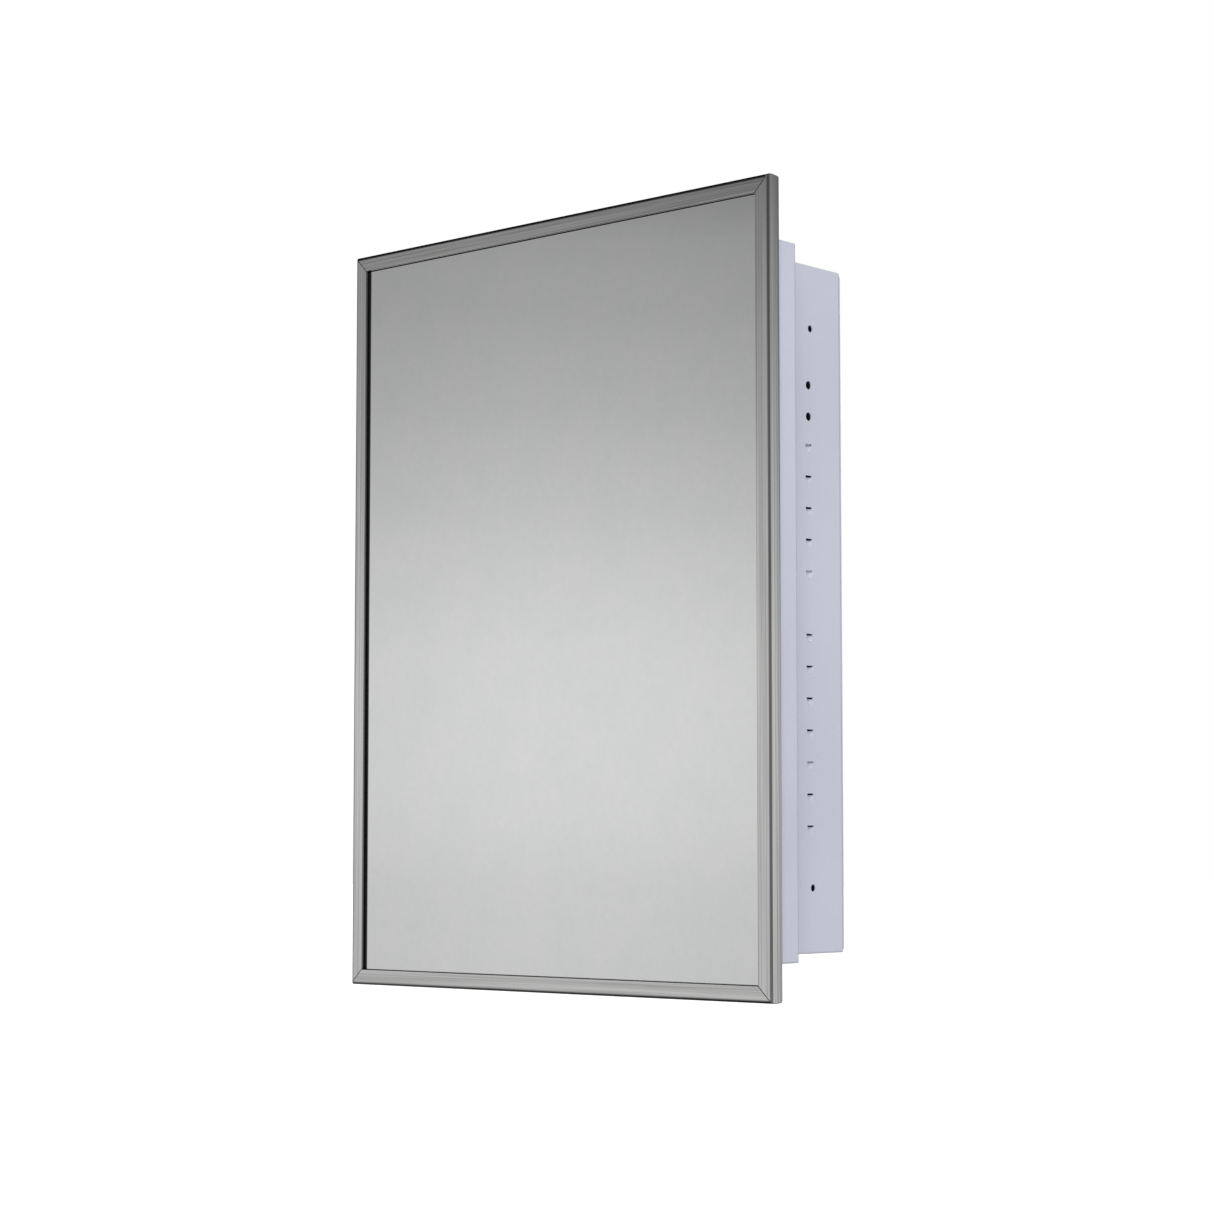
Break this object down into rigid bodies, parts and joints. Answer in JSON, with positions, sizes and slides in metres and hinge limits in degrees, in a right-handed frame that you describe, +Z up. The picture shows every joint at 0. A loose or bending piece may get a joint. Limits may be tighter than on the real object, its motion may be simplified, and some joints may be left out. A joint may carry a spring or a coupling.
{
  "type": "medicine cabinet with mirror",
  "caption": "Recessed bathroom medicine cabinet: white steel box with adjustable shelves and a stainless framed mirror door on a full-length piano hinge.",
  "frame": {"origin": "centre of the back panel's rear face, which is also the centre of the cabinet box seen from the front", "axes": "front of the mirror door faces -Y, +X to the viewer's right, +Z up; the hinge is on the -X side"},
  "size_m": [0.4064, 0.1207, 0.5588],
  "materials": {
    "enamel": "white baked enamel, semi-gloss",
    "stainless": "brushed lengthwise, satin",
    "mirror": "silvered plate glass",
    "hinge": "satin stainless",
    "zinc": "zinc plated",
    "ferrite": "dark matt ferrite",
    "plastic": "off-white moulded",
    "rubber": "pale grey, matt",
    "gasket": "black vinyl glazing strip",
    "cushion": "dark foamed sheet"
  },
  "bodies": {
    "cabinet": {"box_shell": "enamel", "back_panel": "enamel", "front_flange": "enamel", "shelf_lower": "enamel", "shelf_middle": "enamel", "shelf_upper": "enamel", "hinge_cabinet_leaf": "hinge", "hinge_pin": "hinge", "hinge_cabinet_rivet_1": "hinge", "hinge_cabinet_rivet_2": "hinge", "hinge_cabinet_rivet_3": "hinge", "hinge_cabinet_rivet_4": "hinge", "hinge_cabinet_rivet_5": "hinge", "hinge_cabinet_rivet_6": "hinge", "catch_housing": "plastic", "catch_magnet": "ferrite", "catch_pole_inner": "zinc", "catch_pole_outer": "zinc", "catch_screw_upper": "zinc", "catch_screw_lower": "zinc", "bumper_upper": "rubber", "bumper_lower": "rubber"},
    "door": {"gasket_top": "gasket", "gasket_bottom": "gasket", "gasket_left": "gasket", "gasket_right": "gasket", "frame_top": "stainless", "frame_bottom": "stainless", "frame_left": "stainless", "frame_right": "stainless", "corner_key_top_left": "zinc", "corner_key_top_right": "zinc", "corner_key_bottom_left": "zinc", "corner_key_bottom_right": "zinc", "mirror_glass": "mirror", "mirror_backing": "cushion", "door_back_panel": "enamel", "hinge_door_leaf": "hinge", "hinge_door_rivet_1": "hinge", "hinge_door_rivet_2": "hinge", "hinge_door_rivet_3": "hinge", "hinge_door_rivet_4": "hinge", "hinge_door_rivet_5": "hinge", "hinge_door_rivet_6": "hinge", "strike_plate": "zinc", "strike_screw_upper": "zinc", "strike_screw_lower": "zinc"}
  },
  "joints": [
    {"name": "door_hinge", "type": "hinge", "parent": "cabinet", "child": "door", "pos_m": [-0.2008, -0.10505, 0], "axis": [0, 0, -1], "range_deg": [0, 150]}
  ]
}
